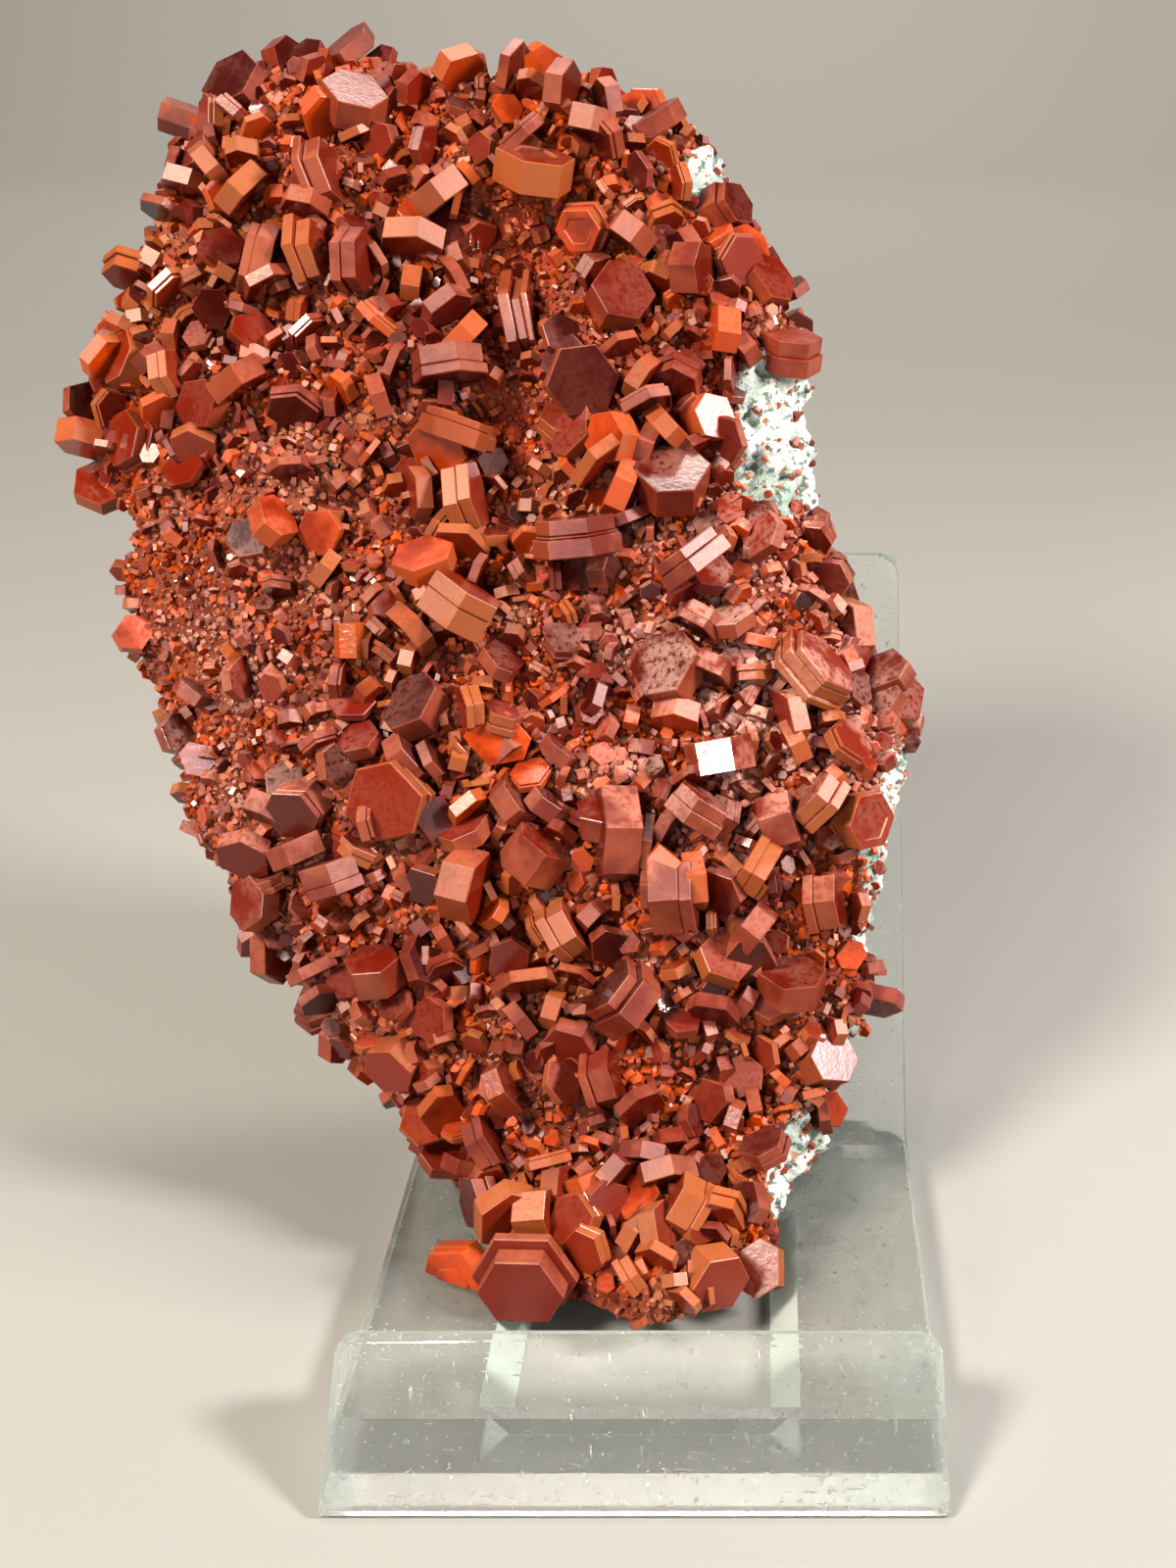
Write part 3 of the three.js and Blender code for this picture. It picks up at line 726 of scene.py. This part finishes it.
def coat_tree():
    group = bpy.data.node_groups.new("crystal_coat", "GeometryNodeTree")
    sockets = {}

    def socket(name, kind, direction="INPUT"):
        sockets[name] = group.interface.new_socket(name=name, in_out=direction, socket_type=kind)

    socket("Geometry", "NodeSocketGeometry")
    socket("Seeds", "NodeSocketCollection")
    socket("Avoid", "NodeSocketObject")
    for name in ("Spacing", "Density", "Smallest", "Largest", "Least Tilt", "Most Tilt", "Clearance", "Sink"):
        socket(name, "NodeSocketFloat")
    socket("Mask", "NodeSocketString")
    socket("Seed", "NodeSocketInt")
    socket("Finish", "NodeSocketMaterial")
    socket("Coat", "NodeSocketGeometry", "OUTPUT")
    tree = Tree(group)
    inputs = group.nodes.new("NodeGroupInput")

    def given(name):
        return Wire(tree, inputs.outputs[name])

    def chance(low, high, offset):
        seed = given("Seed") + offset
        limits = {"Min": low, "Max": high, "Seed": seed}
        return tree.add("FunctionNodeRandomValue", {"data_type": "FLOAT"}, limits)

    mask = tree.add("GeometryNodeInputNamedAttribute", {"data_type": "FLOAT"}, {"Name": given("Mask")})
    spread = {
        "Mesh": given("Geometry"), "Distance Min": given("Spacing"), "Density Max": given("Density"),
        "Density Factor": mask, "Seed": given("Seed"),
    }
    method = {"distribute_method": "POISSON"}
    points = tree.add("GeometryNodeDistributePointsOnFaces", method, spread, "Points")
    normal = Wire(tree, points.socket.node.outputs["Normal"])
    avoid = tree.add("GeometryNodeObjectInfo", {}, {"Object": given("Avoid")}, "Geometry")
    near = tree.add("GeometryNodeProximity", {"target_element": "FACES"}, {0: avoid}, "Distance")
    too_near = tree.add("FunctionNodeCompare", {"operation": "LESS_THAN"}, {"A": near, "B": given("Clearance")})
    kept_normal = tree.add(
        "GeometryNodeStoreNamedAttribute",
        {"data_type": "FLOAT_VECTOR", "domain": "POINT"},
        {"Geometry": points, "Name": "out", "Value": normal},
    )
    points = tree.add("GeometryNodeDeleteGeometry", {}, {"Geometry": kept_normal, "Selection": too_near})
    outward = tree.add("GeometryNodeInputNamedAttribute", {"data_type": "FLOAT_VECTOR"}, {"Name": "out"})
    anyway = tree.add(
        "FunctionNodeRandomValue",
        {"data_type": "FLOAT_VECTOR"},
        {"Min": (-1, -1, -1), "Max": (1, 1, 1), "Seed": given("Seed") + AXIS_SEED},
    )
    along = tree.add("ShaderNodeVectorMath", {"operation": "CROSS_PRODUCT"}, {0: outward, 1: anyway})
    along = tree.add("ShaderNodeVectorMath", {"operation": "NORMALIZE"}, {0: along})
    lean = chance(0.0, 1.0, LEAN_SEED)
    tilt = given("Most Tilt") - (given("Most Tilt") - given("Least Tilt")) * lean * lean * lean
    upright = tree.add("ShaderNodeVectorMath", {"operation": "SCALE"}, {0: outward, "Scale": tilt.math("COSINE")})
    level = tree.add("ShaderNodeVectorMath", {"operation": "SCALE"}, {0: along, "Scale": tilt.math("SINE")})
    axis = tree.add("ShaderNodeVectorMath", {"operation": "ADD"}, {0: upright, 1: level})
    turned = tree.add("FunctionNodeAlignRotationToVector", {"axis": "Z"}, {"Vector": axis})
    angle = chance(0.0, FULL_TURN, SPIN_SEED)
    spin = tree.add("FunctionNodeAxisAngleToRotation", {}, {"Axis": (0, 0, 1), "Angle": angle})
    turned = tree.add("FunctionNodeRotateRotation", {"rotation_space": "LOCAL"}, {0: turned, 1: spin})
    share = chance(0.0, 1.0, SIZE_SEED)
    size = given("Smallest") + (given("Largest") - given("Smallest")) * share * share
    size_mask = tree.add("GeometryNodeInputNamedAttribute", {"data_type": "FLOAT"}, {"Name": "large"})
    size = size * (0.6 + 0.4 * size_mask)
    family = tree.add(
        "GeometryNodeCollectionInfo",
        {},
        {"Collection": given("Seeds"), "Separate Children": True, "Reset Children": True},
    )
    placed = tree.add(
        "GeometryNodeInstanceOnPoints",
        {},
        {"Points": points, "Instance": family, "Pick Instance": True, "Rotation": turned, "Scale": size},
    )
    lift = tree.add("ShaderNodeVectorMath", {"operation": "SCALE"}, {0: outward, "Scale": size * given("Sink")})
    placed = tree.add("GeometryNodeSetPosition", {}, {"Geometry": placed, "Offset": lift})
    placed = tree.add(
        "GeometryNodeStoreNamedAttribute",
        {"data_type": "FLOAT", "domain": "INSTANCE"},
        {"Geometry": placed, "Name": "tone", "Value": chance(0.0, 1.0, TONE_SEED)},
    )
    shine = chance(0.0, 1.0, GLOSS_SEED)
    placed = tree.add(
        "GeometryNodeStoreNamedAttribute",
        {"data_type": "FLOAT", "domain": "INSTANCE"},
        {"Geometry": placed, "Name": "gloss", "Value": shine * shine * shine * shine},
    )
    real = tree.add("GeometryNodeRealizeInstances", {}, {"Geometry": placed})
    done = tree.add("GeometryNodeSetMaterial", {}, {"Geometry": real, "Material": given("Finish")})
    end = group.nodes.new("NodeGroupOutput")
    group.links.new(done.socket, end.inputs["Coat"])
    return group, sockets


coat_group, coat_sockets = coat_tree()
print("coat tree nodes:", len(coat_group.nodes))

# %% [markdown]
# ## Layers of the coat
# Medium crystals keep clear of the large ones, and the smaller layers of both. Each layer is baked
# to a plain mesh, and its points inside the acrylic's base or back are moved out of it.

# %% Coat layers


def joined(name, things):
    """One hidden object with the meshes of several."""
    shape = bmesh.new()
    for thing in things:
        shape.from_mesh(thing.data)
    mesh = bpy.data.meshes.new(name)
    shape.to_mesh(mesh)
    shape.free()
    return bpy.data.objects.new(name, mesh)


def on_back(face):
    """Whether a face of the stand is on the front side of its leaning back."""
    return face.normal.dot(OUT) > 0.99 and on_plate(face.center)[1] > 30


TOUCH = 0.1 * MM
stand_mesh = nodes["acrylic_stand"].data
BACK_FACE = max(on_plate(face.center)[2] for face in stand_mesh.polygons if on_back(face))
BACK_TOP = max(on_plate(vertex.co)[1] for vertex in stand_mesh.vertices)
print("back face of the stand at", BACK_FACE, "up to", BACK_TOP)


def rest_on_stand(mesh):
    """Flattens small crystals where they would reach into the stand's base or back."""
    places = np.empty(3 * len(mesh.vertices), np.float32)
    mesh.vertices.foreach_get("co", places)
    places = places.reshape(-1, 3)
    places[:, 2] = np.maximum(places[:, 2], SHEET + TOUCH)
    offsets = (places - np.array(PLATE_ORIGIN)) / MM
    u, v, n = (offsets @ np.array(axis) for axis in (ACROSS, UP, OUT))
    inside = (np.abs(u) < stand_high.x / MM) & (v < BACK_TOP) & (n < BACK_FACE + TOUCH / MM)
    push = np.where(inside, (BACK_FACE - n) * MM + TOUCH, 0.0)
    places += np.outer(push, np.array(OUT)).astype(np.float32)
    mesh.vertices.foreach_set("co", places.ravel())


def coat_layer(name, slot, avoid, **values):
    """Runs the coat tree on the rock and keeps its result as a plain mesh."""
    carrier = bpy.data.objects.new(name, rock.data)
    bpy.context.scene.collection.objects.link(carrier)
    modifier = carrier.modifiers.new("coat", "NODES")
    modifier.node_group = coat_group
    modifier[coat_sockets["Avoid"].identifier] = avoid
    for key, value in values.items():
        modifier[coat_sockets[key.replace("_", " ")].identifier] = value
    bake_modifiers(carrier)
    rest_on_stand(carrier.data)
    mark_dust(carrier.data)
    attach(carrier, "root")
    triangles = sum(len(p.vertices) - 2 for p in carrier.data.polygons)
    print(name, "triangles:", triangles)
    return carrier


large_shapes = joined("large_shapes", large_crystals)
medium = coat_layer(
    "medium_crystals", "dusty_vanadinite", large_shapes,
    Seeds=medium_seeds, Finish=clean_vanadinite, Mask="large", Seed=3,
    Spacing=2.9 * MM, Density=400000.0, Smallest=2.6 * MM, Largest=7.2 * MM,
    Least_Tilt=0.2, Most_Tilt=1.55, Clearance=0.5 * MM, Sink=0.36,
)
all_shapes = joined("all_shapes", large_crystals + [medium])
coat_layer(
    "small_crystals", "dusty_vanadinite", all_shapes,
    Seeds=small_seeds, Finish=dusty_vanadinite, Mask="coat", Seed=5,
    Spacing=2.0 * MM, Density=800000.0, Smallest=1.3 * MM, Largest=3.8 * MM,
    Least_Tilt=0.2, Most_Tilt=1.55, Clearance=0.0, Sink=0.26,
)
for name, seed, largest in (("druse_1", 7, 1.7), ("druse_2", 8, 1.4)):
    coat_layer(
        name, "orange_vanadinite", all_shapes,
        Seeds=tiny_seeds, Finish=druse, Mask="coat", Seed=seed,
        Spacing=0.8 * MM, Density=1500000.0, Smallest=0.5 * MM, Largest=largest * MM,
        Least_Tilt=0.2, Most_Tilt=1.5, Clearance=0.0, Sink=0.12,
    )

# %% [markdown]
# ## Acrylic
# The stand is one sheet of clear acrylic. Clear plastic is plain transmission with its real
# index of refraction. The sawn edges are frosted, and handling has left fine scratches.

# %% Stand
acrylic, tree, shader = new_material("clear_acrylic")
place = tree.add("ShaderNodeTexCoord", {}, {}, "Object")
smear = tree.noise(60.0, 5.0, 0.7, place)
specks = tree.noise(800.0, 1.0, 0.4, place).ramp(0.70, 0.75) * smear.ramp(0.40, 0.60)
scratches = 0
SCRATCH_LENGTH, SCRATCH_WIDTH = 6.0 * MM, 0.5 * MM
for turn in ((0.6, 0.4, 0.5), (-0.7, 0.9, -0.9), (0.2, -1.1, 1.3), (1.2, 0.3, -0.4)):
    stretch = {"Vector": place, "Rotation": turn, "Scale": (SCRATCH_WIDTH, SCRATCH_LENGTH, SCRATCH_WIDTH)}
    spun = tree.add("ShaderNodeMapping", {"vector_type": "TEXTURE"}, stretch)
    scratches = tree.noise(1.0, 1.0, 0.4, spun).ramp(0.74, 0.78) + scratches
roughness = (0.03 + 0.12 * smear.ramp(0.45, 0.75) + 0.3 * scratches + 0.4 * specks).clamp()
bump = tree.add("ShaderNodeBump", {}, {"Strength": 0.25, "Distance": 0.0001, "Height": scratches})
clear = tree.mix(specks, (0.93, 0.96, 0.93, 1), (0.62, 0.60, 0.55, 1))
feed(tree, shader, Base_Color=clear, Roughness=roughness, Normal=bump)
feed(tree, shader, Transmission_Weight=0.93, IOR=1.49)

frosted, tree, shader = new_material("frosted_edge")
feed(tree, shader, Base_Color=(0.80, 0.88, 0.82, 1), Roughness=0.5, Transmission_Weight=0.55, IOR=1.49)

stand = merged_copy("acrylic_stand", "stand_sheet")
stand.data.materials.append(acrylic)
stand.data.materials.append(frosted)
for polygon in stand.data.polygons:
    polygon.material_index = 1 if abs(polygon.normal.x) > 0.3 or polygon.normal.dot(UP) > 0.9 else 0
bevel = stand.modifiers.new("rounded_edges", "BEVEL")
EDGE_ROUND, SHARPEST = 0.35 * MM, math.radians(40)
bevel.width = EDGE_ROUND
bevel.segments = 2
bevel.limit_method = "ANGLE"
bevel.angle_limit = SHARPEST
bake_modifiers(stand)
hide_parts("acrylic_stand")
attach(stand, "root")
print("stand faces:", len(stand.data.polygons))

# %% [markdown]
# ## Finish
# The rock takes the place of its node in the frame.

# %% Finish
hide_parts("matrix")
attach(rock, "root")
